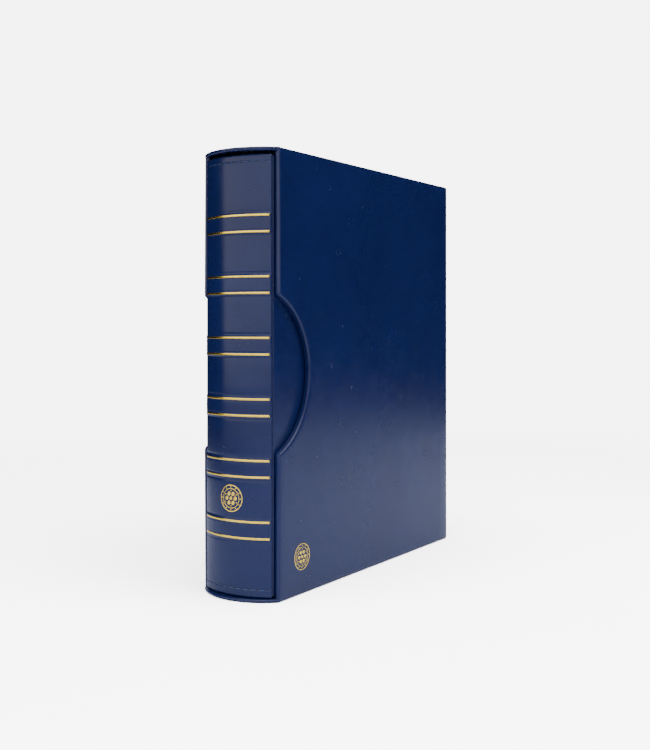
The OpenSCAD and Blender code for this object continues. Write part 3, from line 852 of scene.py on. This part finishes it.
def camera():
    data = bpy.data.cameras.new("camera")
    data.lens = 49.05
    data.sensor_width = 36.0
    data.shift_y = -0.0684
    view = bpy.data.objects.new("camera", data)
    view.location = (0.4693, -0.7252, 0.2019)
    view.rotation_euler = (math.radians(90), 0, math.radians(33.43))
    bpy.context.scene.collection.objects.link(view)
    bpy.context.scene.camera = view


# ---------------------------------------------------------------- the object
NAVY_LEATHERETTE = leatherette()
GOLD = gold_foil()

dress(case_wrap_sheet(), NAVY_LEATHERETTE)
dress(case_cap("case_top_cap", "case_top_skin", CASE_TOP, CASE_TOP - ROOF_T + LINING_LIP), NAVY_LEATHERETTE)
dress(case_cap("case_bottom_cap", "case_bottom_skin", 0.0, ROOF_T - LINING_LIP), NAVY_LEATHERETTE)

dress(lofted_sheet("album_cover_sheet", outer_path(), spine_heights(), "album_outer_skin",
                   False), NAVY_LEATHERETTE)
lining_heights = [lerp(ALBUM_Z0 + COVER_R, ALBUM_Z1 - COVER_R, k / 16) for k in range(17)]
dress(lofted_sheet("album_lining_sheet", inner_path(), lining_heights, "album_inner_skin",
                   True), inner_leatherette())

dress(spine_gold_foil(), GOLD)
medal_y = (case_medal_low.y + case_medal_high.y) / 2
medal_z = (case_medal_low.z + case_medal_high.z) / 2
emblem_z = (spine_medal_low.z + spine_medal_high.z) / 2
dress(medallion("case_medallion_foil", "case_medallion", "slipcase",
                lambda u, v, lift: (CASE_X + bow(medal_y + u, medal_z + v) + lift,
                                    medal_y + u, medal_z + v)), GOLD)
dress(medallion("spine_medallion_foil", "spine_medallion", "album",
                lambda u, v, lift: spine_point(u, emblem_z + v, lift)), GOLD)

dress(spine_stitches(), thread())
dress(stitch_holes(), painted_hole_shade())

COIN_METALS = (("brass_coin", (0.45, 0.3, 0.1), (0.82, 0.62, 0.28)),
               ("nickel_coin", (0.4, 0.39, 0.37), (0.72, 0.71, 0.68)),
               ("copper_coin", (0.3, 0.13, 0.06), (0.72, 0.38, 0.2)))
for index, (slot, low_tone, high_tone) in enumerate(COIN_METALS, 1):
    dress(struck_coins(index), struck_metal(slot, low_tone, high_tone))

# ---------------------------------------------------------------- the carried-over parts
BOARD = greyboard()
STEEL = plated_steel()
SHEET_FILM = clear_film("sheet_film", 0.5)
POCKET_FILM = clear_film("pocket_film", 0.28)
CARD = divider_card()
LINING = case_lining()
for name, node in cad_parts.items():
    if "board" in name:
        dress(node, BOARD)
    elif name.startswith("coin_sheet"):
        dress(node, SHEET_FILM)
    elif name.startswith("pocket_front"):
        dress(node, POCKET_FILM)
    elif name.startswith("divider"):
        dress(node, CARD)
    elif name == "case_lining":
        dress(node, LINING)
    elif not node.hide_render:
        dress(node, STEEL)

CENTRE = Vector((0.0, 0.0, 0.165))
FLOOR_R = 8.0
# painted blue tint and painted pool of light in the floor, seen only by reflections and bounced light
FLOOR_PAINTED_TINT = (0.76, 0.81, 1.0)
FLOOR_PAINTED_LIGHT_POOL = ((0.35, 0.15, 0.0), 0.75, 1.35)
FLOOR_SEEN = (4.2, 4.15, 4.25)
BACKDROP = (6.5, 6.5, 6.5)
studio_floor()
surroundings((0.012, 0.013, 0.018), BACKDROP)
softbox("front_softbox", -6, 14, 1.7, 3.4, 1.5, 2.1, CENTRE)
softbox("overhead_softbox", 60, 78, 1.7, 2.4, 2.4, 3.7, CENTRE)
softbox("side_softbox", 100, 45, 1.6, 1.3, 1.3, 2.2, CENTRE)
softbox("right_strip", 72, 6, 1.5, 0.22, 1.3, 4.5, CENTRE)
softbox("left_strip", -128, 6, 1.5, 0.4, 1.3, 3.0, CENTRE)
camera()
